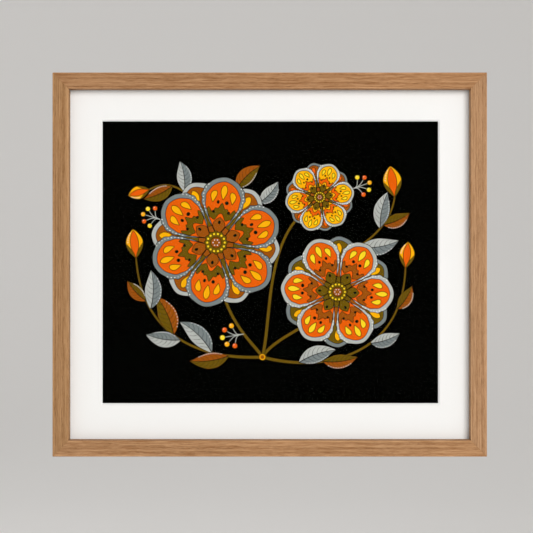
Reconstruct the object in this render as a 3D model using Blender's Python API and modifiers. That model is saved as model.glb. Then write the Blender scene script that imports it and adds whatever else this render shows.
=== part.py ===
"""Framed picture: a mitred oak frame round glazing, a bevelled window mat, a painted board and a backing.

Metres. Seen from the front, +X is right and +Z is up; +Y points at the wall. The origin is the point in the
plane of the wall where a wall nail carries the hanger's teeth.
"""

from math import cos, pi, radians, sin

import bmesh
import bpy
from mathutils import Matrix, Vector

# Frame: the sight opening is what the rails leave visible
SIGHT_WIDTH = 0.4026
SIGHT_HEIGHT = 0.3522
RAIL_WIDTH = 0.0162
RAIL_DEPTH = 0.0230
LIP_DEPTH = 0.0085
RABBET_WIDTH = 0.0045
ARRIS_RADIUS = 0.0006
ARRIS_STEPS = 3

# Window in the mat: the size where the bevel meets the picture, and its offset from the middle of the frame
WINDOW_WIDTH = 0.3398
WINDOW_HEIGHT = 0.2854
WINDOW_RIGHT = 0.0006
WINDOW_RISE = 0.0023

# Flat sheets, from front to back
GLAZING_THICKNESS = 0.0020
MAT_THICKNESS = 0.0014
PICTURE_THICKNESS = 0.0015
BACKING_THICKNESS = 0.0030
SHEET_SLACK = 0.0015
GAP = 0.0003

# Flat steel points
POINT_WIDTH = 0.0060
POINT_LENGTH = 0.0200
POINT_THICKNESS = 0.0005
POINT_IN_WOOD = 0.0070
POINT_ARC_STEPS = 8
POINTS_LONG_SIDE = 3
POINTS_SHORT_SIDE = 2
POINT_SPACING = 0.1300

# Sawtooth hanger
STAND_OFF = 0.0030
HOOK_BELOW_TOP = 0.0098
HANGER_HALF_LENGTH = 0.0230
HANGER_BRIDGE_HALF = 0.0150
HANGER_RAMP = 0.0020
HANGER_HEIGHT = 0.0085
HANGER_THICKNESS = 0.0008
HANGER_WALL_GAP = 0.0003
TOOTH_COUNT = 9
TOOTH_PITCH = 0.0028
TOOTH_HEIGHT = 0.0015
NAIL_OFFSET = 0.0200
NAIL_HOLE_RADIUS = 0.0010
PILOT_HOLE_RADIUS = 0.0010

# Nails and bumpers
NAIL_HEAD_RADIUS = 0.0018
NAIL_HEAD_HEIGHT = 0.0008
NAIL_SHANK_RADIUS = 0.0007
NAIL_LENGTH = 0.0090
NAIL_TIP = 0.0018
BUMPER_RADIUS = 0.0048
BUMPER_INSET = 0.0200
BUMPER_ROUND = 0.0008
TURN_STEPS = 24

# Worked out from the above
HALF_WIDTH = SIGHT_WIDTH / 2 + RAIL_WIDTH
HALF_HEIGHT = SIGHT_HEIGHT / 2 + RAIL_WIDTH
WALL_WIDTH = RAIL_WIDTH - RABBET_WIDTH
SHEET_WIDTH = SIGHT_WIDTH + 2 * (RABBET_WIDTH - SHEET_SLACK)
SHEET_HEIGHT = SIGHT_HEIGHT + 2 * (RABBET_WIDTH - SHEET_SLACK)
FRONT_Y = -STAND_OFF - RAIL_DEPTH
BACK_Y = -STAND_OFF
CENTRE = Vector((0.0, 0.0, HOOK_BELOW_TOP - HALF_HEIGHT))
GLAZING_Y = FRONT_Y + LIP_DEPTH + GAP
MAT_Y = GLAZING_Y + GLAZING_THICKNESS + GAP
PICTURE_Y = MAT_Y + MAT_THICKNESS + GAP
BACKING_Y = PICTURE_Y + PICTURE_THICKNESS + GAP
POINT_Y = BACKING_Y + BACKING_THICKNESS + GAP
HANGER_FOOT_Y = BACK_Y + GAP
HANGER_BRIDGE_Y = -HANGER_WALL_GAP - HANGER_THICKNESS
HANGER_MIDDLE_Z = HANGER_HEIGHT / 2 - TOOTH_HEIGHT
TOWARDS_WALL = Matrix.Rotation(radians(-90), 4, "X")


def start_empty():
    """Removes every object, and makes the collection of parts and the collection of cutters."""
    for old in list(bpy.data.objects):
        bpy.data.objects.remove(old)
    made = []
    for name in ("framed_picture", "cutters"):
        made.append(bpy.data.collections.new(name))
        bpy.context.scene.collection.children.link(made[-1])
    return made


PARTS, CUTTERS = start_empty()


def linear(red, green, blue):
    """The scene-linear colour of an 8-bit display colour."""
    unit = (value / 255 for value in (red, green, blue))
    return tuple(v / 12.92 if v <= 0.04045 else ((v + 0.055) / 1.055) ** 2.4 for v in unit) + (1.0,)


def material(name, colour, roughness, metallic=0.0, transmission=0.0):
    made = bpy.data.materials.new(name)
    made.use_nodes = True
    shader = made.node_tree.nodes["Principled BSDF"]
    shader.inputs["Base Color"].default_value = linear(*colour)
    shader.inputs["Roughness"].default_value = roughness
    shader.inputs["Metallic"].default_value = metallic
    shader.inputs["Transmission Weight"].default_value = transmission
    made.diffuse_color = linear(*colour)
    return made


OAK = material("oak", (173, 129, 89), 0.5)
CLEAR = material("clear_sheet", (250, 250, 250), 0.02, transmission=1.0)
MAT_BOARD = material("mat_board", (246, 244, 240), 0.9)
PAINTED_BOARD = material("painted_board", (6, 6, 5), 0.6)
FIBREBOARD = material("fibreboard", (142, 104, 70), 0.8)
STEEL = material("point_steel", (150, 150, 152), 0.35, metallic=1.0)
BRASS = material("hanger_brass", (196, 164, 96), 0.3, metallic=1.0)
RUBBER = material("bumper_rubber", (46, 46, 46), 0.7)


def add_object(name, mesh, finish=None):
    """A part in the collection of parts, or a hidden cutter where no finish is given."""
    made = bpy.data.objects.new(name, mesh)
    if finish:
        mesh.materials.append(finish)
        PARTS.objects.link(made)
    else:
        CUTTERS.objects.link(made)
        made.hide_render = True
        made.display_type = "WIRE"
    return made


def mesh_from(bm, name):
    mesh = bpy.data.meshes.new(name)
    bmesh.ops.recalc_face_normals(bm, faces=bm.faces)
    bm.to_mesh(mesh)
    bm.free()
    return mesh


def box(name, size, centre, finish=None):
    """A box with its full sizes along X, Y and Z."""
    bm = bmesh.new()
    bmesh.ops.create_cube(bm, size=1.0)
    bmesh.ops.scale(bm, vec=size, verts=bm.verts)
    made = add_object(name, mesh_from(bm, name), finish)
    made.location = centre
    return made


def extruded(name, outline, thickness, turn):
    """A mesh of a flat outline, thick along its own Z, turned by a matrix; its caps are welded to its sides."""
    data = bpy.data.curves.new(name + "_outline", "CURVE")
    data.dimensions = "2D"
    data.fill_mode = "BOTH"
    data.extrude = thickness / 2
    spline = data.splines.new("POLY")
    spline.points.add(len(outline) - 1)
    for point, (x, y) in zip(spline.points, outline):
        point.co = (x, y, 0.0, 1.0)
    spline.use_cyclic_u = True
    guide = bpy.data.objects.new(name + "_outline", data)
    CUTTERS.objects.link(guide)
    evaluated = guide.evaluated_get(bpy.context.evaluated_depsgraph_get())
    mesh = bpy.data.meshes.new_from_object(evaluated)
    bpy.data.objects.remove(guide)
    bm = bmesh.new()
    bm.from_mesh(mesh)
    bpy.data.meshes.remove(mesh)
    bmesh.ops.remove_doubles(bm, verts=bm.verts, dist=1e-6)
    bmesh.ops.transform(bm, matrix=turn, verts=bm.verts)
    return bm


def turned(name, profile, matrix, finish=None):
    """A round solid from a profile of (radius, height) points that runs down its outer side."""
    mesh = bpy.data.meshes.new(name)
    points = [(radius, 0.0, height) for radius, height in profile]
    mesh.from_pydata(points, [(i, i + 1) for i in range(len(points) - 1)], [])
    made = add_object(name, mesh, finish)
    made.matrix_world = matrix
    screw = made.modifiers.new("turn", "SCREW")
    screw.steps = TURN_STEPS
    screw.render_steps = TURN_STEPS
    screw.use_merge_vertices = True
    screw.merge_threshold = 0.00001
    screw.use_smooth_shade = False
    return made


def cut(piece, cutter):
    boolean = piece.modifiers.new(cutter.name, "BOOLEAN")
    boolean.operation = "DIFFERENCE"
    boolean.object = cutter


def arc(centre, radius, start, end, steps):
    """Points of an arc between two angles in degrees."""
    angles = [radians(start + (end - start) * i / steps) for i in range(steps + 1)]
    return [(centre[0] + radius * cos(a), centre[1] + radius * sin(a)) for a in angles]


def rail_section():
    """Distance inwards from the frame's outer edge, and depth behind its front face."""
    r = ARRIS_RADIUS
    points = arc((r, r), r, 180, 270, ARRIS_STEPS)
    points += arc((RAIL_WIDTH - r, r), r, 270, 360, ARRIS_STEPS)
    points += [(RAIL_WIDTH, LIP_DEPTH), (WALL_WIDTH, LIP_DEPTH), (WALL_WIDTH, RAIL_DEPTH)]
    points += arc((r, RAIL_DEPTH - r), r, 90, 180, ARRIS_STEPS)
    return points


def rail(name, half_length, half_span, angle):
    """A mitred rail: made as the top one, half_span above the frame's middle, then turned about Y."""
    lie_down = Matrix(((0, 0, 1, 0), (0, 1, 0, FRONT_Y), (-1, 0, 0, half_span), (0, 0, 0, 1)))
    bm = extruded(name, rail_section(), 2 * half_length, lie_down)
    for side in (-1, 1):
        corner = Vector((side * half_length, 0.0, half_span))
        outwards = Vector((side, 0.0, -1.0)).normalized()
        everything = bm.verts[:] + bm.edges[:] + bm.faces[:]
        cut_at = corner - outwards * GAP / 2
        bmesh.ops.bisect_plane(bm, geom=everything, plane_co=cut_at, plane_no=outwards, clear_outer=True)
        open_edges = [edge for edge in bm.edges if edge.is_boundary]
        bmesh.ops.contextual_create(bm, geom=open_edges)
    made = add_object(name, mesh_from(bm, name), OAK)
    made.location = CENTRE
    made.rotation_euler = (0.0, radians(angle), 0.0)
    return made


def sheet(name, y, thickness, finish):
    """A flat sheet that fills the rabbet, with its front face at y."""
    centre = CENTRE + Vector((0.0, y + thickness / 2, 0.0))
    return box(name, (SHEET_WIDTH, thickness, SHEET_HEIGHT), centre, finish)


def window_mat():
    """The mat, with a window whose edges slope at 45 degrees and are widest in front."""
    made = sheet("window_mat", MAT_Y, MAT_THICKNESS, MAT_BOARD)
    over = MAT_THICKNESS
    depth = MAT_THICKNESS + 2 * over
    cutter = box(
        "window_cutter",
        (WINDOW_WIDTH, depth, WINDOW_HEIGHT),
        CENTRE + Vector((WINDOW_RIGHT, MAT_Y + MAT_THICKNESS / 2, WINDOW_RISE)),
    )
    for vert in cutter.data.vertices:
        # At the mat's back face the window has its stated size, so the cutter grows by its distance from there
        grow = MAT_THICKNESS / 2 - vert.co.y
        vert.co.x += grow if vert.co.x > 0 else -grow
        vert.co.z += grow if vert.co.z > 0 else -grow
    cut(made, cutter)


def point_outline(grow=0.0):
    """A flat point: square where it enters the wood and round at its free end, along +X from the wood."""
    half = POINT_WIDTH / 2 + grow
    straight = POINT_LENGTH - POINT_IN_WOOD - POINT_WIDTH / 2
    outline = [(-POINT_IN_WOOD - grow, half), (-POINT_IN_WOOD - grow, -half)]
    return outline + arc((straight, 0.0), half, -90, 90, POINT_ARC_STEPS)


def steel_points(side, rail_object, edge, inwards, count):
    """Points along one rail. edge is the middle of its rabbet wall, and inwards looks at the frame's middle."""
    along = Vector((inwards.z, 0.0, -inwards.x))
    turn = Matrix((inwards, along, inwards.cross(along))).transposed().to_4x4()
    for i in range(count):
        step = (i - (count - 1) / 2) * POINT_SPACING
        centre = edge + along * step + Vector((0.0, POINT_Y + POINT_THICKNESS / 2, 0.0))
        for grow, finish in ((0.0, STEEL), (GAP, None)):
            name = f"point_{side}_{i + 1}" + ("" if finish else "_slot")
            thickness = POINT_THICKNESS + 2 * grow
            bm = extruded(name, point_outline(grow), thickness, turn)
            made = add_object(name, mesh_from(bm, name), finish)
            made.location = centre
        cut(rail_object, made)


def hanger():
    """A bent strip whose bridge stands off the wood, with teeth along its lower edge and two nail holes."""
    bend = HANGER_BRIDGE_HALF + HANGER_RAMP
    wood_side = [
        (-HANGER_HALF_LENGTH, HANGER_FOOT_Y),
        (-bend, HANGER_FOOT_Y),
        (-HANGER_BRIDGE_HALF, HANGER_BRIDGE_Y),
        (HANGER_BRIDGE_HALF, HANGER_BRIDGE_Y),
        (bend, HANGER_FOOT_Y),
        (HANGER_HALF_LENGTH, HANGER_FOOT_Y),
    ]
    wall_side = [(x, y + HANGER_THICKNESS) for x, y in reversed(wood_side)]
    bm = extruded("hanger", wood_side + wall_side, HANGER_HEIGHT, Matrix.Identity(4))
    made = add_object("hanger", mesh_from(bm, "hanger"), BRASS)
    made.location.z = HANGER_MIDDLE_Z

    below = -TOOTH_HEIGHT * 2
    reach = TOOTH_COUNT * TOOTH_PITCH / 2
    zigzag = [(-reach, below)]
    for i in range(TOOTH_COUNT):
        left = -reach + i * TOOTH_PITCH
        zigzag += [(left, -TOOTH_HEIGHT - GAP / 10), (left + TOOTH_PITCH / 2, 0.0)]
    zigzag += [(reach, -TOOTH_HEIGHT - GAP / 10), (reach, below)]
    stand_up = Matrix.Rotation(radians(90), 4, "X")
    bm = extruded("teeth_cutter", zigzag, 4 * STAND_OFF, stand_up)
    cut(made, add_object("teeth_cutter", mesh_from(bm, "teeth_cutter")))
    return made


def peg(name, radius, low_y, high_y, x, z):
    """A round cutter along Y."""
    profile = [(0.0, high_y - low_y), (radius, high_y - low_y), (radius, 0.0), (0.0, 0.0)]
    return turned(name, profile, Matrix.Translation((x, low_y, z)) @ TOWARDS_WALL)


def hanger_nails(plate, rail_object):
    """The two nails, the holes that they pass through and the pilot holes in the wood."""
    underside = HANGER_FOOT_Y + HANGER_THICKNESS + GAP
    top = NAIL_LENGTH + NAIL_HEAD_HEIGHT
    profile = [
        (0.0, top),
        (NAIL_HEAD_RADIUS * 0.8, top),
        (NAIL_HEAD_RADIUS, NAIL_LENGTH + NAIL_HEAD_HEIGHT / 2),
        (NAIL_HEAD_RADIUS, NAIL_LENGTH),
        (NAIL_SHANK_RADIUS, NAIL_LENGTH),
        (NAIL_SHANK_RADIUS, NAIL_TIP),
        (0.0, 0.0),
    ]
    tip_y = underside - NAIL_LENGTH
    for side, x in (("left", -NAIL_OFFSET), ("right", NAIL_OFFSET)):
        place = Matrix.Translation((x, tip_y, HANGER_MIDDLE_Z)) @ TOWARDS_WALL
        turned("hanger_nail_" + side, profile, place, BRASS)
        hole = peg(f"nail_hole_{side}", NAIL_HOLE_RADIUS, BACK_Y, 0.0, x, HANGER_MIDDLE_Z)
        cut(plate, hole)
        pilot = peg(f"pilot_hole_{side}", PILOT_HOLE_RADIUS, tip_y - GAP, 0.0, x, HANGER_MIDDLE_Z)
        cut(rail_object, pilot)


def bumpers():
    """Round pads that hold the lower edge as far from the wall as the hanger does."""
    height = STAND_OFF - GAP
    profile = [(0.0, height)]
    corner = (BUMPER_RADIUS - BUMPER_ROUND, height - BUMPER_ROUND)
    profile += list(reversed(arc(corner, BUMPER_ROUND, 0, 90, ARRIS_STEPS)))
    profile += [(BUMPER_RADIUS, 0.0), (0.0, 0.0)]
    z = CENTRE.z - HALF_HEIGHT + WALL_WIDTH / 2
    for side, sign in (("left", -1), ("right", 1)):
        x = sign * (HALF_WIDTH - BUMPER_INSET)
        turned("bumper_" + side, profile, Matrix.Translation((x, BACK_Y + GAP, z)) @ TOWARDS_WALL, RUBBER)


def build():
    top = rail("rail_top", HALF_WIDTH, HALF_HEIGHT, 0)
    bottom = rail("rail_bottom", HALF_WIDTH, HALF_HEIGHT, 180)
    left = rail("rail_left", HALF_HEIGHT, HALF_WIDTH, -90)
    right = rail("rail_right", HALF_HEIGHT, HALF_WIDTH, 90)
    sheet("glazing", GLAZING_Y, GLAZING_THICKNESS, CLEAR)
    window_mat()
    sheet("picture", PICTURE_Y, PICTURE_THICKNESS, PAINTED_BOARD)
    sheet("backing_board", BACKING_Y, BACKING_THICKNESS, FIBREBOARD)
    sides = (
        ("top", top, Vector((0, 0, -1)), HALF_HEIGHT, POINTS_LONG_SIDE),
        ("bottom", bottom, Vector((0, 0, 1)), HALF_HEIGHT, POINTS_LONG_SIDE),
        ("left", left, Vector((1, 0, 0)), HALF_WIDTH, POINTS_SHORT_SIDE),
        ("right", right, Vector((-1, 0, 0)), HALF_WIDTH, POINTS_SHORT_SIDE),
    )
    for side, rail_object, inwards, half_span, count in sides:
        edge = CENTRE - inwards * (half_span - WALL_WIDTH)
        steel_points(side, rail_object, edge, inwards, count)
    plate = hanger()
    hanger_nails(plate, top)
    bumpers()


build()
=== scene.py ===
from math import atan2, cos, hypot, log, pi, radians, sin, tau
from random import Random

import bmesh
import bpy
import numpy
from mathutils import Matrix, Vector
from mathutils.geometry import delaunay_2d_cdt


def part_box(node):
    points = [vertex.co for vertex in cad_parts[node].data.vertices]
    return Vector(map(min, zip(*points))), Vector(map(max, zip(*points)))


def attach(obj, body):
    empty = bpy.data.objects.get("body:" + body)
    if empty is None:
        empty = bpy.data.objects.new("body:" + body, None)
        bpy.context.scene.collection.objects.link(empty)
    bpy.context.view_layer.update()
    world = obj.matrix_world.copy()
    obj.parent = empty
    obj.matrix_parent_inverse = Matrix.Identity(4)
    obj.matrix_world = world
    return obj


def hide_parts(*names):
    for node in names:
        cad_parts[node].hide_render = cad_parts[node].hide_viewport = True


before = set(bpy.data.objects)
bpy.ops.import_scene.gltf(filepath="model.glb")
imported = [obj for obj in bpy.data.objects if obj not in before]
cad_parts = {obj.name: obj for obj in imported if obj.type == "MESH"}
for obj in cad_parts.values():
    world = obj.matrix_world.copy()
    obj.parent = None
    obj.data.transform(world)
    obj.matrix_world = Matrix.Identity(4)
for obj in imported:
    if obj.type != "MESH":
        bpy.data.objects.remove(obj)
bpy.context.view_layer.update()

MM = 0.001

# Places worked out from the frame
RAIL_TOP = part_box("rail_top")
HALF_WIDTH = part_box("rail_right")[1].x
TOP = RAIL_TOP[1].z
RAIL_WIDTH = RAIL_TOP[1].z - RAIL_TOP[0].z
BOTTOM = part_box("rail_bottom")[0].z
HALF_HEIGHT = (TOP - BOTTOM) / 2
MIDDLE = (TOP + BOTTOM) / 2
FRONT = RAIL_TOP[0].y
RAIL_BACK = RAIL_TOP[1].y
PICTURE_LOW, PICTURE_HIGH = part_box("picture")

# Sizes of the rails' section that their boxes don't give
LIP_DEPTH = 8.5 * MM
RABBET_WIDTH = 4.5 * MM
MITRE_GAP = 0.3 * MM

# Window in the mat: its size at the back of the bevel, the bevel's width and the place of its middle
WINDOW_WIDTH = 339.8 * MM
WINDOW_HEIGHT = 285.4 * MM
BEVEL = 1.4 * MM
WINDOW_X = 0.6 * MM
WINDOW_Z = MIDDLE + 2.3 * MM


# Shader arithmetic


class Value:
    """What a shader socket gives; arithmetic on it adds Math nodes."""

    def __init__(self, finish, socket):
        self.finish = finish
        self.socket = socket

    def math(self, operation, first, second):
        return self.finish.node("ShaderNodeMath", {"operation": operation}, {0: first, 1: second})

    def __add__(self, other):
        return self.math("ADD", self, other)

    def __radd__(self, other):
        return self.math("ADD", other, self)

    def __sub__(self, other):
        return self.math("SUBTRACT", self, other)

    def __rsub__(self, other):
        return self.math("SUBTRACT", other, self)

    def __mul__(self, other):
        return self.math("MULTIPLY", self, other)

    def __rmul__(self, other):
        return self.math("MULTIPLY", other, self)

    def __abs__(self):
        return self.finish.node("ShaderNodeMath", {"operation": "ABSOLUTE"}, {0: self})


def linear(red, green, blue):
    """The scene-linear colour of an 8-bit display colour."""
    unit = (value / 255 for value in (red, green, blue))
    return tuple(v / 12.92 if v <= 0.04045 else ((v + 0.055) / 1.055) ** 2.4 for v in unit) + (1.0,)


class Finish:
    """A procedural material on one Principled shader."""

    def __init__(self, name, **plain):
        self.material = bpy.data.materials.new(name)
        self.material.use_nodes = True
        self.tree = self.material.node_tree
        self.shader = self.tree.nodes["Principled BSDF"]
        for socket, value in plain.items():
            self.set(socket.replace("_", " "), value)

    def set(self, socket, value):
        self.feed(self.shader.inputs[socket], value)

    def feed(self, socket, value):
        if isinstance(value, Value):
            self.tree.links.new(value.socket, socket)
        else:
            socket.default_value = value

    def node(self, kind, settings, inputs, output=0):
        """Adds a node: its settings first, then the values or links of its sockets."""
        made = self.tree.nodes.new(kind)
        for name, value in settings.items():
            setattr(made, name, value)
        for name, value in inputs.items():
            self.feed(made.inputs[name], value)
        return Value(self, made.outputs[output])

    def place(self):
        """X, Y and Z in the row frame, in metres."""
        at = self.node("ShaderNodeTexCoord", {}, {}, "Object")
        return [self.node("ShaderNodeSeparateXYZ", {}, {0: at}, axis) for axis in "XYZ"]

    def noise(self, x, y, z=0.0, detail=2.0, roughness=0.5):
        """Soft noise from 0 to 1, about one lump to each unit of its coordinates."""
        at = self.node("ShaderNodeCombineXYZ", {}, {"X": x, "Y": y, "Z": z})
        return self.node(
            "ShaderNodeTexNoise",
            {"noise_dimensions": "3D"},
            {"Vector": at, "Scale": 1.0, "Detail": detail, "Roughness": roughness},
        )

    def even(self, place, per_metre, detail=2.0):
        """Noise alike in all directions, with so many lumps to the metre."""
        x, y, z = place
        return self.noise(x * per_metre, y * per_metre, z * per_metre, detail)

    def step(self, value, low, high):
        """0 below low, 1 above high and smooth between; low may be the larger."""
        ends = {"Value": value, "From Min": low, "From Max": high}
        return self.node("ShaderNodeMapRange", {"interpolation_type": "SMOOTHSTEP"}, ends)

    def mix(self, share, first, second):
        """The first colour where share is 0, the second where it is 1."""
        ends = {0: share, 6: first, 7: second}
        return self.node("ShaderNodeMix", {"data_type": "RGBA"}, ends, 2)

    def shaded(self, colour, factor):
        """A colour made lighter or darker by a factor."""
        base = colour if isinstance(colour, Value) else colour[:3]
        return self.node("ShaderNodeVectorMath", {"operation": "SCALE"}, {0: base, "Scale": factor})

    def bump(self, height, distance, strength=1.0):
        relief = {"Height": height, "Distance": distance, "Strength": strength}
        self.set("Normal", self.node("ShaderNodeBump", {}, relief))


# Finishes. A factor on a coordinate is a count of marks to the metre.

# Oak's marks, along the grain and across it
BENDS = (34, 80)
LONG_LINES_ALONG = 2.5
STREAKS = (64, 820)
PORES = (170, 3100)
FIBRES = (420, 5200)
CLOUDS = (9, 60)

# How strongly the oak's tone changes with each; the share to the right is painted light, and the arris
# share is partly sanded wear and partly a painted highlight
FIBRE_SHARE = 0.5
# Painted light: the oak lighter towards the right, the side the key lamp comes from
PAINTED_LIGHT_TO_RIGHT = 0.18
CLOUD_SHARE = 0.22
# The pale arrises are partly sanded wear and partly a painted highlight where each arris catches the light
ARRIS_HIGHLIGHT_AND_WEAR_SHARE = 0.16
PORE_SHARE = 0.36

# Where the pale arrises, partly sanded wear and partly a painted highlight, begin and end, from a rail's
# outer edge
OUTER_ARRIS = (2.1 * MM, 0.8 * MM)
INNER_ARRIS = (14.3 * MM, 15.6 * MM)

# How far the grain wanders, how many long lines a metre holds, and how strong the streaks and lines are
WAVY = (2.6 * MM, 580, 1.5, 1.2)
STRAIGHT = (1.6 * MM, 840, 1.0, 1.7)

# Each rail's grain direction, pale and dark tones, own stretch of grain and kind of grain
RAILS = {
    "top": ("x", (189, 145, 105), (134, 89, 51), 3.1, WAVY),
    "bottom": ("x", (194, 151, 110), (139, 94, 56), 17.4, WAVY),
    "left": ("z", (190, 148, 106), (136, 95, 55), 41.9, STRAIGHT),
    "right": ("z", (193, 153, 116), (142, 101, 65), 60.3, STRAIGHT),
}


def oak(name, grain_along, pale, dark, stretch, kind):
    """Straight-grained oak with fine lines, dark streaks and open pores, paler on its arrises as sanded
    wear and as a painted highlight, and painted lighter towards the right as if lit from there.
    """
    wander, lines_across, streak_share, line_share = kind
    wood = Finish(name, Specular_IOR_Level=0.14)
    x, y, z = wood.place()
    run, cross = (x, z) if grain_along == "x" else (z, x)
    from_edge = (HALF_HEIGHT - abs(z - MIDDLE)) if grain_along == "x" else (HALF_WIDTH - abs(x))

    def marks(counts, start, over, deep, detail, roughness=0.5):
        along, across = counts
        return wood.noise(run * along + start, over * across, deep * across, detail, roughness)

    bend = (marks(BENDS, stretch, cross, y, 2.0) - 0.5) * wander
    over = cross + bend
    deep = y + bend
    lines = marks((LONG_LINES_ALONG, lines_across), stretch, over, deep, 2.0, 0.6)
    streaks = marks(STREAKS, -stretch, over, deep, 2.0, 0.6)
    pores = marks(PORES, stretch, over, deep, 1.0)
    fibre = marks(FIBRES, 0.0, over, deep, 2.0)
    cloud = marks(CLOUDS, -stretch, cross, y, 1.0)
    share = 0.5 + (lines - 0.5) * line_share + (streaks - 0.5) * streak_share
    share = share + (fibre - 0.5) * FIBRE_SHARE
    colour = wood.mix(share, linear(*pale), linear(*dark))
    pore = wood.step(pores, 0.55, 0.66) * wood.step(lines, 0.40, 0.58)
    # Pale arrises: partly sanded wear, partly a painted highlight
    arris_highlight_and_wear = wood.step(from_edge, *OUTER_ARRIS) + wood.step(from_edge, *INNER_ARRIS)
    # The x term is painted light, lighter towards the right where the key lamp stands; the clouds are the
    # oak's own tone
    light = 1.0 + x * PAINTED_LIGHT_TO_RIGHT + (cloud - 0.5) * CLOUD_SHARE
    light = light + arris_highlight_and_wear * ARRIS_HIGHLIGHT_AND_WEAR_SHARE - pore * PORE_SHARE
    wood.set("Base Color", wood.shaded(colour, light))
    wood.set("Roughness", 0.60 + (fibre - 0.5) * 0.16 + pore * 0.2)
    wood.bump(fibre * 0.25 - pore - streaks * 0.5, 0.05 * MM, 0.8)
    return wood.material


def mat_board():
    """Off-white mat board with a soft paper tooth, and a whiter core where the bevel cuts it."""
    board = Finish("mat_board_white", Specular_IOR_Level=0.2)
    place = board.place()
    beyond_x = abs(place[0] - WINDOW_X) - WINDOW_WIDTH / 2
    beyond_z = abs(place[2] - WINDOW_Z) - WINDOW_HEIGHT / 2
    core = board.step(beyond_x, BEVEL, BEVEL * 0.97) * board.step(beyond_z, BEVEL, BEVEL * 0.97)
    tooth = board.even(place, 2600, 3.0)
    cloud = board.even(place, 14)
    face = board.mix(cloud, linear(251, 250, 248), linear(253, 252, 251))
    colour = board.mix(core, face, linear(255, 255, 254))
    board.set("Base Color", board.shaded(colour, 0.985 + tooth * 0.02))
    board.set("Roughness", 0.82 + tooth * 0.14)
    board.bump(tooth, 0.02 * MM, 0.7)
    return board.material


def paint(name, colour, streak=0.16, sheen=0.05):
    """Flat brushed paint whose bristle marks follow the brush map."""
    coat = Finish("paint_" + name, Specular_IOR_Level=sheen)
    brush = coat.node("ShaderNodeUVMap", {"uv_map": "brush"}, {})
    along = coat.node("ShaderNodeSeparateXYZ", {}, {0: brush}, "X")
    across = coat.node("ShaderNodeSeparateXYZ", {}, {0: brush}, "Y")
    x, _, z = coat.place()
    bristles = coat.noise(along * 70, across * 1500, 0.0, 3.0, 0.6)
    wash = coat.noise(along * 45, across * 160, 3.0, 2.0)
    tooth = coat.noise(x * 2100, 0.0, z * 2100, 2.0)
    light = 1.0 + (bristles - 0.5) * streak + (wash - 0.5) * streak * 1.6 + (tooth - 0.5) * 0.08
    coat.set("Base Color", coat.shaded(linear(*colour), light))
    coat.set("Roughness", 0.56 + (bristles - 0.5) * 0.2)
    coat.bump(bristles + tooth * 0.4, 0.03 * MM, 0.6)
    return coat.material


def ground_paint():
    """The black ground, with faint greenish traces where the brush overlapped."""
    coat = Finish("paint_ground", Specular_IOR_Level=0.0)
    x, _, z = coat.place()
    strokes = coat.noise(x * 38, 0.0, z * 520, 3.0, 0.6)
    overlap = coat.step(coat.noise(x * 16, 5.0, z * 42, 3.0), 0.52, 0.80)
    tooth = coat.noise(x * 2100, 0.0, z * 2100, 2.0)
    colour = coat.mix(overlap * strokes, (0.0003, 0.0004, 0.0002, 1.0), (0.0008, 0.0017, 0.0008, 1.0))
    coat.set("Base Color", colour)
    coat.set("Roughness", 0.66 + (strokes - 0.5) * 0.2)
    coat.bump(strokes + tooth * 0.4, 0.03 * MM, 0.5)
    return coat.material


def grey_board():
    """The raw sides and back of the painted board."""
    board = Finish("picture_board_core", Specular_IOR_Level=0.2, Roughness=0.9)
    fleck = board.even(board.place(), 1800, 3.0)
    board.set("Base Color", board.mix(fleck, linear(150, 145, 136), linear(186, 181, 170)))
    board.bump(fleck, 0.03 * MM, 0.6)
    return board.material


def fibreboard():
    """Pressed brown fibreboard with long fine fibres, some of them dark."""
    board = Finish("fibreboard_brown", Specular_IOR_Level=0.25)
    x, y, z = place = board.place()
    bend = board.even(place, 60) * 6.0
    upright = board.noise(x * 900 + bend, y * 900, z * 260 + bend, 4.0, 0.65)
    level = board.noise(x * 240 - bend, y * 900, z * 1000 + bend, 4.0, 0.65)
    cloud = board.even(place, 22)
    colour = board.mix(upright * 0.6 + level * 0.4, linear(98, 66, 42), linear(176, 134, 92))
    dark = board.step(upright * level, 0.155, 0.115)
    colour = board.mix(dark * 0.55, colour, linear(70, 45, 28))
    board.set("Base Color", board.shaded(colour, 0.9 + cloud * 0.22))
    board.set("Roughness", 0.66 + upright * 0.2)
    board.bump(upright + level, 0.04 * MM, 0.5)
    return board.material


def metal(name, colour, roughness, scratches_along):
    """Rolled sheet metal with fine scratches along one axis and faint blotches."""
    sheet = Finish(name, Metallic=1.0)
    x, y, z = place = sheet.place()
    count_x, count_z = (120, 4200) if scratches_along == "x" else (4200, 120)
    scratches = sheet.noise(x * count_x, y * 900, z * count_z, 2.0)
    blotch = sheet.even(place, 260, 3.0)
    light = 0.84 + blotch * 0.22 + (scratches - 0.5) * 0.12
    sheet.set("Base Color", sheet.shaded(linear(*colour), light))
    sheet.set("Roughness", roughness + (scratches - 0.5) * 0.18 + (blotch - 0.5) * 0.12)
    sheet.bump(scratches, 0.01 * MM, 0.5)
    return sheet.material


def rubber():
    """Soft dark rubber with a fine moulded grain and a little dust."""
    pad = Finish("bumper_rubber_dark", Specular_IOR_Level=0.35)
    place = pad.place()
    grain = pad.even(place, 3200)
    dust = pad.step(pad.even(place, 420, 3.0), 0.5, 0.8)
    pad.set("Base Color", pad.mix(dust * 0.5, linear(34, 34, 35), linear(78, 76, 72)))
    pad.set("Roughness", 0.62 + grain * 0.2)
    pad.bump(grain, 0.02 * MM, 0.6)
    return pad.material


def clear_sheet():
    """Clear glazing with a coating that mirrors next to nothing."""
    pane = Finish("glazing_clear", Roughness=0.0, IOR=1.06)
    pane.set("Transmission Weight", 1.0)
    pane.set("Base Color", (0.996, 1.0, 0.998, 1.0))
    return pane.material


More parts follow.
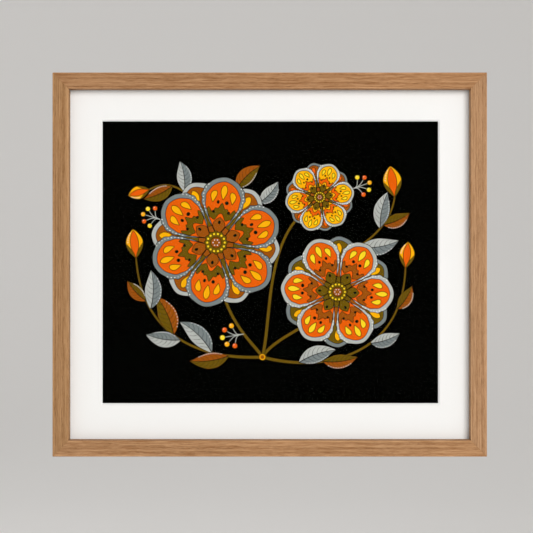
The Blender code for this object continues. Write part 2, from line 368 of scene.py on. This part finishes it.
def glue():
    """Dried glue and sanding dust in a mitre."""
    line = Finish("mitre_glue_tan", Specular_IOR_Level=0.3)
    fleck = line.even(line.place(), 1500)
    line.set("Base Color", line.mix(fleck, linear(150, 106, 66), linear(176, 132, 92)))
    line.set("Roughness", 0.6 + fleck * 0.2)
    return line.material


# Painted design: flat regions of colour in millimetres about the middle of the window

INK_LINE = 0.55

# Cell of the plain grid under the design, and how close two points may be before they are one
GRID = 6.0
MERGE = 0.01

# Points along the edges of each kind of shape
RIM_STEPS = 32
STEM_STEPS = 40
STALK_STEPS = 12
BAND_STEPS = 36
DROP_POINTS = 26
PATCH_POINTS = 16
DOT_POINTS = 11

# How many of each a flower, leaf, bud or sprig has
PETALS = 6
PETAL_DOTS = 9
EYE_BEADS = 14
VEINS = 6
LEAF_DOTS = 10
BUD_DOTS = 5
BERRIES = 5

# A petal's body as shares of the petal's length and width
BODY_LENGTH = 0.925
BODY_WIDTH = 0.80

# A bloom's back and front rings: their turn in petals, and reach and half a petal's width in radii
BACK_RING = (0.5, 0.98, 0.30)
FRONT_RING = (0.0, 1.0, 0.335)

# A bloom's eye, in radii from its centre
PETALS_FROM = 0.10
EYE = 0.175
BEADS_AT = 0.132
HEART = 0.085
SEEDS_AT = 0.045

rng = Random(7)


def jitter(size):
    return rng.uniform(-size, size)


def signed_area(points):
    pairs = zip(points, points[1:] + points[:1])
    return sum(a[0] * b[1] - a[1] * b[0] for a, b in pairs) / 2


def anticlockwise(points):
    return points[::-1] if signed_area(points) < 0 else points


def shift(points, distance):
    """An anticlockwise outline moved inwards by a distance."""
    moved = []
    for i, (x, y) in enumerate(points):
        before = points[i - 1]
        after = points[(i + 1) % len(points)]
        dx, dy = after[0] - before[0], after[1] - before[1]
        size = hypot(dx, dy) or 1.0
        moved.append((x - dy / size * distance, y + dx / size * distance))
    return moved


class Painting:
    """Regions of one colour each; a later one covers what lies under it.

    heading is the way a region's brush marks run.
    """

    def __init__(self):
        self.regions = []

    def fill(self, colour, outline, heading=0.0):
        self.regions.append((colour, anticlockwise(outline), heading))

    def lined(self, colour, outline, heading=0.0, line=INK_LINE):
        outline = anticlockwise(outline)
        self.fill("ink", outline, heading)
        self.fill(colour, shift(outline, line), heading)

    def stroke(self, colour, points, widths, heading=0.0):
        """A brush line through points, with a full width at each."""
        left, right = [], []
        for i, (x, y) in enumerate(points):
            before = points[max(i - 1, 0)]
            after = points[min(i + 1, len(points) - 1)]
            dx, dy = after[0] - before[0], after[1] - before[1]
            size = hypot(dx, dy) or 1.0
            half = widths[i] / 2
            left.append((x - dy / size * half, y + dx / size * half))
            right.append((x + dy / size * half, y - dx / size * half))
        self.fill(colour, left + right[::-1], heading)

    def dot(self, colour, centre, radius):
        self.fill(colour, ring_of(centre, radius, DOT_POINTS))


def ring_of(centre, radius, count, lobes=0, depth=0.0):
    """A circle of points, with shallow lobes if asked."""
    points = []
    for i in range(count):
        a = tau * i / count
        reach = radius * (1 + depth * cos(lobes * a))
        points.append((centre[0] + reach * cos(a), centre[1] + reach * sin(a)))
    return points


def blade(base, heading, length, half_width, bend=0.0, widest=0.6, roundness=0.7):
    """place(along, across) on a petal or leaf: along is 0 at its base, 1 at its tip, and across -1 to 1."""
    power = log(0.5) / log(widest)

    def place(along, across):
        turn = heading + bend * along
        if abs(bend) < 1e-6:
            x = base[0] + length * along * cos(heading)
            y = base[1] + length * along * sin(heading)
        else:
            x = base[0] + length / bend * (sin(turn) - sin(heading))
            y = base[1] - length / bend * (cos(turn) - cos(heading))
        inside = min(max(along, 0.0), 1.0)
        half = half_width * max(sin(pi * inside**power), 0.0) ** roundness
        return (x - sin(turn) * half * across, y + cos(turn) * half * across)

    return place


def eased(low, high, steps=RIM_STEPS):
    """Values from low to high, closest together at both ends."""
    return [low + (high - low) * (1 - cos(pi * i / steps)) / 2 for i in range(steps + 1)]


def outline_of(place, ripple=0.0, ripples=5, phase=0.0):
    """The whole outline of a blade, rippled if asked."""
    one_side, other_side = [], []
    for along in eased(0.0, 1.0):
        reach = 1 + ripple * sin(tau * ripples * along + phase)
        one_side.append(place(along, -reach))
        other_side.append(place(along, reach))
    return one_side + other_side[::-1]


def patch(place, along, across, long_half, wide_half):
    """A round patch on a blade."""
    turns = [tau * i / PATCH_POINTS for i in range(PATCH_POINTS)]
    return [place(along + long_half * cos(a), across + wide_half * sin(a)) for a in turns]


def drop(place, along, across, long_half, wide_half):
    """A drop on a blade, round towards the blade's tip and narrow towards its base."""
    points = []
    for i in range(DROP_POINTS):
        a = tau * i / DROP_POINTS
        narrow = 0.62 + 0.38 * cos(a)
        points.append(place(along + long_half * cos(a), across + wide_half * sin(a) * narrow))
    return points


def band(place, low, high, reach):
    """A band across a blade between two edges, each a function of across."""
    spread = [-reach + 2 * reach * i / BAND_STEPS for i in range(BAND_STEPS + 1)]
    return [place(low(v), v) for v in spread] + [place(high(v), v) for v in reversed(spread)]


def front_petal(art, place, heading, tip, collar, flame):
    """What is painted on a front petal's body: a dark collar, three drops, spots and a root flame."""

    def wing(v):
        return 0.05 * cos(2 * pi * v) - 0.10 * v * v

    def collar_top(v):
        return 0.53 + wing(v) + 0.03 * cos(5 * pi * v)

    def flame_top(v):
        return 0.15 + 0.20 * (1 - abs(v)) ** 0.7

    art.lined(collar, band(place, lambda v: 0.36 + wing(v), collar_top, 0.985), heading + pi / 2)
    for across, along, size in ((-0.56, 0.71, 0.9), (0.56, 0.71, 0.9), (0.0, 0.80, 1.1)):
        art.lined(tip, drop(place, along + jitter(0.012), across, 0.125 * size, 0.31 * size), heading)
    for side in (-1, 1):
        spot = patch(place, 0.610 + jitter(0.015), side * 0.25, 0.034, 0.10 + jitter(0.02))
        art.fill("spot", spot, heading)
        art.fill("spot", patch(place, 0.44 + jitter(0.01), side * 0.52, 0.026, 0.10), heading)
    art.lined(flame, band(place, lambda v: 0.03, flame_top, 0.97), heading)
    art.fill("spot", patch(place, 0.255 + jitter(0.01), 0.0, 0.035, 0.15), heading)


def back_petal(art, place, heading, tip, collar):
    """What is painted on a back petal's body, of which only the outer half shows."""
    art.lined(tip, drop(place, 0.80, 0.0, 0.14, 0.42), heading)

    def top(v):
        return 0.56 + 0.06 * cos(3 * pi * v) - 0.08 * v * v

    art.lined(collar, band(place, lambda v: 0.2, top, 0.985), heading)


def petal(art, base, heading, length, half_width, tones, bend, front):
    """One petal: a grey rippled rim with white dots round a bright body."""
    rim, body, tip, collar, flame = tones
    phase = rng.uniform(0, tau)
    edge = blade(base, heading, length, half_width, bend, widest=0.66, roundness=0.58)
    art.lined(rim, outline_of(edge, 0.035, 7, phase), heading)
    for side in (-1, 1):
        for i in range(PETAL_DOTS):
            art.dot("white", edge(0.40 + 0.055 * i, side * 0.905), 0.56 + jitter(0.1))
    body_length, body_width = length * BODY_LENGTH, half_width * BODY_WIDTH
    place = blade(base, heading, body_length, body_width, bend, widest=0.66, roundness=0.56)
    art.lined(body, outline_of(place, 0.02, 5, phase), heading)
    if front:
        front_petal(art, place, heading, tip, collar, flame)
    else:
        back_petal(art, place, heading, tip, collar)


def bloom(art, centre, radius, first, front_tones, back_tones):
    """A flower seen face on: a back ring of six petals, a front ring of six and a beaded eye."""
    rings = ((*BACK_RING, back_tones, 0.16, False), (*FRONT_RING, front_tones, 0.0, True))
    for turn, share, wide, tones, bend, front in rings:
        for i in range(PETALS):
            heading = radians(first) + tau * (i + turn) / PETALS + jitter(0.02)
            start = PETALS_FROM * radius
            base = (centre[0] + start * cos(heading), centre[1] + start * sin(heading))
            reach = radius * (share + jitter(0.012)) - start
            petal(art, base, heading, reach, radius * wide, tones, bend, front)
    art.lined("olive", ring_of(centre, radius * EYE, 72, 12, 0.06))
    for bead in ring_of(centre, radius * BEADS_AT, EYE_BEADS):
        art.dot("lemon", bead, radius * 0.016)
    art.lined("brown", ring_of(centre, radius * HEART, 36))
    for bead in ring_of(centre, radius * SEEDS_AT, PETALS):
        art.dot("white", bead, radius * 0.009)


def leaf(art, base, heading, length, half_width, bend, tones):
    """A leaf in two tones either side of its midrib, with veins and a row of dots along one edge."""
    light, dark = tones
    place = blade(base, heading, length, half_width, bend, widest=0.46, roundness=0.95)
    art.lined(dark, outline_of(place, 0.02, 4), heading)
    steps = eased(0.02, 0.975)
    art.fill(light, [place(t, 0.0) for t in steps] + [place(t, 0.92) for t in reversed(steps)], heading)
    art.stroke("ink", [place(t, 0.0) for t in eased(0.0, 0.97, 20)], [1.0 - 0.03 * i for i in range(21)])
    for i in range(VEINS):
        along = 0.14 + 0.62 * i / (VEINS - 1)
        for side in (-1, 1):
            vein = [place(along + 0.14 * s * s, side * 0.78 * s) for s in (0.0, 0.25, 0.5, 0.75, 1.0)]
            art.stroke("ink", vein, [0.46, 0.42, 0.36, 0.3, 0.2])
    for i in range(LEAF_DOTS):
        art.dot("white", place(0.17 + 0.066 * i, -0.86), 0.52)


def bezier(a, b, c, d, steps=STEM_STEPS):
    """Points of a smooth curve from a to d, drawn towards b and c."""
    curve = []
    for i in range(steps + 1):
        t = i / steps
        shares = ((1 - t) ** 3, 3 * (1 - t) ** 2 * t, 3 * (1 - t) * t * t, t**3)
        curve.append(tuple(sum(s * p[k] for s, p in zip(shares, (a, b, c, d))) for k in (0, 1)))
    return curve


def stem(art, guides, start, end):
    """A tapering stem; returns its points."""
    curve = bezier(*guides)
    widths = [start + (end - start) * i / STEM_STEPS for i in range(STEM_STEPS + 1)]
    art.stroke("ink", curve, [w + 2 * INK_LINE for w in widths])
    art.stroke("olive", curve, widths)
    return curve


def along_stem(curve, share):
    """The point at a share of a stem, and the direction there."""
    i = min(int(share * (len(curve) - 1)), len(curve) - 2)
    (x, y), (next_x, next_y) = curve[i], curve[i + 1]
    return (x, y), atan2(next_y - y, next_x - x)


def bud(art, base, heading, length):
    """A closed flower: a bright tip in a cup."""
    place = blade(base, heading, length, length * 0.30, 0.0, widest=0.52, roundness=0.8)
    art.lined("amber", outline_of(place), heading)
    inner = blade(base, heading, length * 0.96, length * 0.15, 0.0, 0.55, 0.8)
    art.lined("orange", outline_of(inner), heading)
    steps = eased(0.0, 0.55, 12)
    for side in (-1, 1):
        outer_edge = [place(t, side) for t in steps]
        inner_edge = [place(t, side * (0.1 + 0.9 * (t / 0.55) ** 1.6)) for t in reversed(steps)]
        art.lined("olive", outer_edge + inner_edge[1:], heading, 0.35)
    for i in range(BUD_DOTS):
        art.dot("white", place(0.56 + 0.075 * i, 0.74), 0.5)


def berries(art, root, heading, spread, size, colours):
    """A sprig of round berries on fine stalks."""
    widths = [0.9 - 0.03 * k for k in range(STALK_STEPS + 1)]
    for i in range(BERRIES):
        share = i / (BERRIES - 1)
        turn = heading + spread * (share - 0.5)
        reach = size * (5.2 + 2.4 * sin(pi * share))
        tip = (root[0] + reach * cos(turn), root[1] + reach * sin(turn))
        guide = (root[0] + reach * 0.5 * cos(heading), root[1] + reach * 0.5 * sin(heading))
        art.stroke("pale", bezier(root, guide, guide, tip, STALK_STEPS), widths)
        art.lined(colours[i % len(colours)], ring_of(tip, size, 26), 0.0, 0.45)
        art.fill("white", ring_of((tip[0] - size * 0.32, tip[1] + size * 0.32), size * 0.17, 10))


# A leaf's light and dark paints
GREY = ("pale", "slate")
EARTH = ("olive", "brown")
MOSS = ("brown", "olive")


def spray():
    """Three flowers, with leaves, buds and berries, on stems that meet near the lower edge."""
    art = Painting()
    root = (-8.0, -96.0)
    left = stem(art, (root, (-64, -99), (-130, -80), (-136, 4)), 2.8, 1.4)
    right = stem(art, (root, (50, -112), (134, -98), (137, -6)), 2.8, 1.4)
    high = stem(art, ((60, 0), (96, 16), (122, 36), (126, 66)), 2.2, 1.4)
    far = stem(art, ((-60, 40), (-84, 78), (-104, 84), (-122, 74)), 2.2, 1.4)
    to_left = stem(art, (root, (-18, -80), (-48, -60), (-54, 0)), 2.8, 2.4)
    stem(art, (root, (4, -76), (40, -66), (68, -40)), 2.8, 2.4)
    stem(art, (root, (2, -56), (-6, 30), (44, 58)), 2.8, 2.2)
    for curve, share, side, angle, length, width, bend, tones in (
        (left, 0.20, 1, 30, 40, 8.5, -0.5, EARTH),
        (left, 0.30, -1, 46, 46, 9.5, 0.6, GREY),
        (left, 0.50, 1, 38, 36, 8.5, -0.5, GREY),
        (left, 0.56, -1, 42, 44, 10.0, 0.5, EARTH),
        (left, 0.76, -1, 44, 40, 9.0, 0.5, GREY),
        (left, 0.80, 1, 34, 28, 7.0, -0.5, MOSS),
        (right, 0.22, 1, 34, 40, 9.0, -0.5, GREY),
        (right, 0.34, -1, 16, 36, 7.5, 0.5, EARTH),
        (right, 0.62, -1, 34, 32, 7.5, 0.5, GREY),
        (right, 0.84, -1, 26, 28, 7.0, 0.5, EARTH),
        (high, 0.62, 1, 42, 38, 8.5, -0.5, GREY),
        (high, 0.66, -1, 44, 30, 7.5, 0.5, EARTH),
        (high, 0.30, -1, 42, 42, 9.0, 0.6, GREY),
        (far, 0.42, -1, 62, 32, 8.0, 0.5, GREY),
        (far, 0.62, 1, 52, 32, 7.5, -0.5, EARTH),
    ):
        base, heading = along_stem(curve, share)
        leaf(art, base, heading + side * radians(angle), length, width, bend, tones)
    leaf(art, (-34, 74), radians(62), 34, 8.5, -0.6, MOSS)
    leaf(art, (-12, 60), radians(30), 30, 7.5, 0.6, GREY)
    bud(art, left[-1], radians(96), 30)
    bud(art, right[-1], radians(84), 27)
    bud(art, high[-1], radians(98), 32)
    bud(art, far[-1], radians(196), 23)
    art.lined("amber", ring_of(root, 3.6, 30))
    art.lined("brown", ring_of(root, 1.9, 20), 0.0, 0.4)
    base, heading = along_stem(to_left, 0.42)
    berries(art, base, heading + 1.1, 1.5, 2.9, ("amber", "orange", "lemon"))
    berries(art, (82, 74), radians(20), 1.5, 2.6, ("orange", "lemon", "amber"))
    berries(art, (-110, 43), radians(163), 1.5, 2.6, ("orange", "lemon", "amber"))
    bloom(
        art, (50, 66), 36, 10,
        ("pale", "amber", "lemon", "orange", "olive"), ("slate", "brown", "orange", "olive", "olive"),
    )
    bloom(
        art, (-55, 20), 67, 20,
        ("slate", "orange", "amber", "olive", "brown"), ("pale", "brown", "amber", "olive", "olive"),
    )
    bloom(
        art, (68, -30), 58, -4,
        ("pale", "orange", "lemon", "brown", "olive"), ("slate", "olive", "amber", "brown", "brown"),
    )
    return art


# The paints, as 8-bit display colours
PAINTS = {
    "ink": (26, 14, 8),
    "orange": (232, 96, 8),
    "amber": (250, 178, 8),
    "lemon": (252, 216, 36),
    "olive": (108, 84, 10),
    "brown": (156, 82, 14),
    "spot": (8, 22, 10),
    "slate": (122, 131, 131),
    "pale": (182, 185, 180),
    "white": (240, 240, 236),
}

# The picture's own texture map: the painted face fills most of it, and the raw back and sides lie in strips
# below. Heights are shares of the map.
SHEET_MAP = "OFBake"
SHEET_MARGIN = 0.005
FACE_FROM = 0.13
BACK_HEIGHT = 0.06
UPRIGHT_SIDES_FROM = 0.07
LEVEL_SIDES_FROM = 0.10
SIDE_HEIGHT = 0.01
SIDE_STEP = 0.015


def on_sheet(across, up):
    """A place on the picture's texture map, kept off its rim."""
    return tuple(SHEET_MARGIN + (1 - 2 * SHEET_MARGIN) * share for share in (across, up))


def shares_of(place):
    """How far a place is across, into and up the picture, each from 0 to 1."""
    size = PICTURE_HIGH - PICTURE_LOW
    return [(place[k] - PICTURE_LOW[k]) / size[k] for k in range(3)]


def raw_place(facing, place):
    """Where a corner of the raw back or of a side lies on the picture's texture map."""
    across, deep, up = shares_of(place)
    if abs(facing.y) > 0.5:
        return on_sheet(across, BACK_HEIGHT * up)
    if abs(facing.x) > 0.5:
        return on_sheet(up, UPRIGHT_SIDES_FROM + SIDE_STEP * (facing.x > 0) + SIDE_HEIGHT * deep)
    return on_sheet(across, LEVEL_SIDES_FROM + SIDE_STEP * (facing.z > 0) + SIDE_HEIGHT * deep)


def owners_of(regions, middles):
    """The last region that each point lies in."""
    owners = numpy.zeros(len(middles), dtype=int)
    for number in range(1, len(regions)):
        ring = numpy.array(regions[number][1])
        boxed = (middles > ring.min(axis=0)) & (middles < ring.max(axis=0))
        near = boxed.all(axis=1).nonzero()[0]
        x, y = middles[near].T[:, :, None]
        x0, y0 = ring.T
        x1, y1 = numpy.roll(ring, -1, axis=0).T
        left = (x1 - x0) * (y - y0) - (x - x0) * (y1 - y0)
        upward = ((y0 <= y) & (y1 > y) & (left > 0)).sum(axis=1)
        downward = ((y0 > y) & (y1 <= y) & (left < 0)).sum(axis=1)
        owners[near[upward != downward]] = number
    return owners


def painted_board(art):
    """The picture: one flat painted face parted along the edges of its colours, on a board."""
    low = ((PICTURE_LOW.x - WINDOW_X) / MM, (PICTURE_LOW.z - WINDOW_Z) / MM)
    high = ((PICTURE_HIGH.x - WINDOW_X) / MM, (PICTURE_HIGH.z - WINDOW_Z) / MM)
    whole = [low, (high[0], low[1]), high, (low[0], high[1])]
    regions = [("ground", whole, 0.0)] + art.regions
    points, lines = [], []
    for _, outline, _ in regions:
        around = range(len(points), len(points) + len(outline))
        lines += zip(around, list(around[1:]) + [around[0]])
        points += [Vector(point) for point in outline]
    columns = round((high[0] - low[0]) / GRID)
    rows = round((high[1] - low[1]) / GRID)
    points += [
        Vector((low[0] + (high[0] - low[0]) * i / columns, low[1] + (high[1] - low[1]) * j / rows))
        for i in range(columns + 1)
        for j in range(rows + 1)
    ]
    flat, _, faces, *_ = delaunay_2d_cdt(points, lines, [], 0, MERGE, False)
    places = numpy.array([tuple(point) for point in flat])
    owners = owners_of(regions, places[numpy.array(faces)].mean(axis=1))

    names = ["ground"] + list(PAINTS) + ["board"]
    board = bmesh.new()
    brush = board.loops.layers.uv.new("brush")
    sheet = board.loops.layers.uv.new(SHEET_MAP)
    corners = [board.verts.new((WINDOW_X + p.x * MM, PICTURE_LOW.y, WINDOW_Z + p.y * MM)) for p in flat]
    for face, over in zip(faces, owners):
        colour, _, heading = regions[over]
        made = board.faces.new([corners[i] for i in face])
        made.material_index = names.index(colour)
        for loop in made.loops:
            x, z = loop.vert.co.x, loop.vert.co.z
            loop[brush].uv = (x * cos(heading) + z * sin(heading), z * cos(heading) - x * sin(heading))
            across, _, up = shares_of(loop.vert.co)
            loop[sheet].uv = on_sheet(across, FACE_FROM + (1 - FACE_FROM) * up)
    thickness = PICTURE_HIGH.y - PICTURE_LOW.y
    rim = [edge for edge in board.edges if edge.is_boundary]
    sides = bmesh.ops.extrude_edge_only(board, edges=rim)["geom"]
    back = [item for item in sides if isinstance(item, bmesh.types.BMVert)]
    bmesh.ops.translate(board, verts=back, vec=(0.0, thickness, 0.0))
    closing = bmesh.ops.contextual_create(board, geom=[e for e in board.edges if e.is_boundary])["faces"]
    raw = [item for item in sides if isinstance(item, bmesh.types.BMFace)] + closing
    bmesh.ops.recalc_face_normals(board, faces=board.faces)
    for face in raw:
        face.material_index = names.index("board")
        for loop in face.loops:
            loop[sheet].uv = raw_place(face.normal, loop.vert.co)
    coats = [paint(name, colour) for name, colour in PAINTS.items()]
    piece = add_piece("painted_picture", board, [ground_paint()] + coats + [grey_board()])
    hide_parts("picture")


# Glue lines: how far they stay inside the rails' section, and how much of the mitre's gap they fill
GLUE_INSET = 0.35 * MM
GLUE_FILL = 0.98
CORNERS = {"upper_left": (-1, 1), "upper_right": (1, 1), "lower_left": (-1, -1), "lower_right": (1, -1)}

# The points' and the hanger's metals, as 8-bit display colours
STEEL = (150, 151, 154)
BRASS = (222, 186, 112)

# Studio, in metres and watts
FLOOR_DROP = 0.6
SWEEP_RADIUS = 5.0
SWEEP_HEIGHT = 4.5
SWEEP_SIDES = 96
COVE = 3.0
COVE_STEPS = 12
PAPER = (0.72, 0.715, 0.71, 1.0)
PAPER_GLOW = (1.0, 0.98, 0.955, 1.0)
PAPER_GLOW_STRENGTH = 0.17
AIR = (1.0, 0.965, 0.92, 1.0)
AIR_STRENGTH = 0.32
LAMP_SPREAD = radians(90)

# Each lamp's direction from the picture, distance, width and power, and whether it shows in a gloss or
# through the glazing
LAMPS = {
    "key": ((0.32, -1.0, 0.22), 3.7, 2.3, 27.6, False),
    "front_fill": ((-1.0, -1.1, 0.35), 3.9, 2.0, 1.8, False),
    "back_fill": ((-0.7, 1.2, 0.7), 3.4, 2.0, 13.5, True),
}

# Camera: the image's and the frame's width in pixels, the lens, and how far it stands from the frame's
# middle, to the left and down
IMAGE_PX = 533.0
FRAME_PX = 434.7
LENS = 67.0
SENSOR = 36.0
CAMERA_LEFT = 3.24 * MM
CAMERA_BELOW = 1.94 * MM


def add_piece(name, bm, finishes, rides=True):
    """A new object from a bmesh in the row frame."""
    mesh = bpy.data.meshes.new(name)
    bm.to_mesh(mesh)
    bm.free()
    for finish in finishes:
        mesh.materials.append(finish)
    made = bpy.data.objects.new(name, mesh)
    bpy.context.scene.collection.objects.link(made)
    if rides:
        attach(made, "root")
    return made


def prism(bm, outline, reach):
    """A closed prism from a flat outline of 3-D points, pushed along reach."""
    first = bm.faces.new([bm.verts.new(point) for point in outline])
    moved = bmesh.ops.extrude_face_region(bm, geom=[first])["geom"]
    bmesh.ops.translate(bm, verts=[v for v in moved if isinstance(v, bmesh.types.BMVert)], vec=reach)


def mitre_glue(finish):
    """The thin glue line that closes each mitre."""
    lip = RAIL_WIDTH - GLUE_INSET
    wall = RAIL_WIDTH - RABBET_WIDTH - GLUE_INSET
    lip_depth = LIP_DEPTH - GLUE_INSET
    depth = RAIL_BACK - FRONT - GLUE_INSET
    section = (
        (GLUE_INSET, GLUE_INSET),
        (lip, GLUE_INSET),
        (lip, lip_depth),
        (wall, lip_depth),
        (wall, depth),
        (GLUE_INSET, depth),
    )
    for name, (side_x, side_z) in CORNERS.items():
        across = Vector((side_x, 0.0, -side_z)).normalized() * MITRE_GAP * GLUE_FILL
        outline = []
        for inwards, deep in section:
            x = side_x * (HALF_WIDTH - inwards)
            z = MIDDLE + side_z * (HALF_HEIGHT - inwards)
            outline.append(Vector((x, FRONT + deep, z)) - across / 2)
        bm = bmesh.new()
        prism(bm, outline, across)
        bmesh.ops.recalc_face_normals(bm, faces=bm.faces)
        piece = add_piece("mitre_glue_" + name, bm, [finish])


def dress_nodes():
    """Finishes for the solids that keep their shape."""
    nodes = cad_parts
    for side, (grain_along, pale, dark, stretch, kind) in RAILS.items():
        finish = oak("oak_" + side, grain_along, pale, dark, stretch, kind)
        nodes["rail_" + side].material_slots[0].material = finish
    nodes["window_mat"].material_slots[0].material = mat_board()
    nodes["backing_board"].material_slots[0].material = fibreboard()
    nodes["glazing"].material_slots[0].material = clear_sheet()
    nodes["glazing"].visible_shadow = False
    steel = {axis: metal("point_steel_" + axis, STEEL, 0.36, axis) for axis in "xz"}
    brass = metal("hanger_brass_bright", BRASS, 0.34, "x")
    pad = rubber()
    for name, node in nodes.items():
        if name.startswith("point_"):
            node.material_slots[0].material = steel["x" if "left" in name or "right" in name else "z"]
        elif name.startswith("hanger"):
            node.material_slots[0].material = brass
        elif name.startswith("bumper"):
            node.material_slots[0].material = pad


def sweep():
    """The studio's round floor, which curves up into its wall."""
    floor = BOTTOM - FLOOR_DROP
    profile = [(0.0, floor)]
    for i in range(COVE_STEPS + 1):
        turn = pi / 2 * i / COVE_STEPS
        profile.append((SWEEP_RADIUS - COVE + COVE * sin(turn), floor + COVE * (1 - cos(turn))))
    profile.append((SWEEP_RADIUS, floor + SWEEP_HEIGHT))
    bm = bmesh.new()
    verts = [bm.verts.new((r, 0.0, z)) for r, z in profile]
    edges = [bm.edges.new(pair) for pair in zip(verts, verts[1:])]
    turned = {"cent": (0, 0, 0), "axis": (0, 0, 1), "angle": tau, "steps": SWEEP_SIDES}
    bmesh.ops.spin(bm, geom=verts + edges, use_duplicate=False, **turned)
    bmesh.ops.remove_doubles(bm, verts=bm.verts, dist=1e-5)
    bmesh.ops.recalc_face_normals(bm, faces=bm.faces)
    for face in bm.faces:
        face.smooth = True
    paper = Finish("studio_paper", Roughness=0.9, Specular_IOR_Level=0.1)
    paper.set("Base Color", PAPER)
    paper.set("Emission Color", PAPER_GLOW)
    paper.set("Emission Strength", PAPER_GLOW_STRENGTH)
    add_piece("studio_sweep", bm, [paper.material], rides=False)


def studio():
    """A pale round studio, a soft key from the upper right, and fills."""
    sweep()
    world = bpy.data.worlds.new("studio_air")
    world.use_nodes = True
    air = world.node_tree.nodes["Background"].inputs
    air["Color"].default_value = AIR
    air["Strength"].default_value = AIR_STRENGTH
    bpy.context.scene.world = world
    centre = Vector((0.0, FRONT, MIDDLE))
    for name, (direction, distance, size, power, mirrored) in LAMPS.items():
        light = lamp(name, centre, direction, distance, size, power)
        light.visible_glossy = mirrored
        light.visible_transmission = mirrored


def lamp(name, centre, direction, distance, size, power):
    """A square soft light that looks at the picture and isn't itself seen."""
    data = bpy.data.lights.new(name, "AREA")
    data.size = size
    data.spread = LAMP_SPREAD
    data.energy = power
    made = bpy.data.objects.new(name, data)
    made.visible_camera = False
    away = Vector(direction).normalized()
    made.location = centre + away * distance
    made.rotation_euler = (-away).to_track_quat("-Z", "Y").to_euler()
    bpy.context.scene.collection.objects.link(made)
    return made


def camera():
    """Straight on, so far off that the frame is as wide as in the photograph."""
    data = bpy.data.cameras.new("camera")
    data.lens = LENS
    data.sensor_width = SENSOR
    distance = LENS / SENSOR * IMAGE_PX / FRAME_PX * 2 * HALF_WIDTH
    made = bpy.data.objects.new("camera", data)
    made.location = (-CAMERA_LEFT, FRONT - distance, MIDDLE - CAMERA_BELOW)
    made.rotation_euler = (pi / 2, 0.0, 0.0)
    bpy.context.scene.collection.objects.link(made)
    bpy.context.scene.camera = made
    bpy.context.scene.view_settings.view_transform = "Standard"


camera()
dress_nodes()
mitre_glue(glue())
painted_board(spray())
studio()
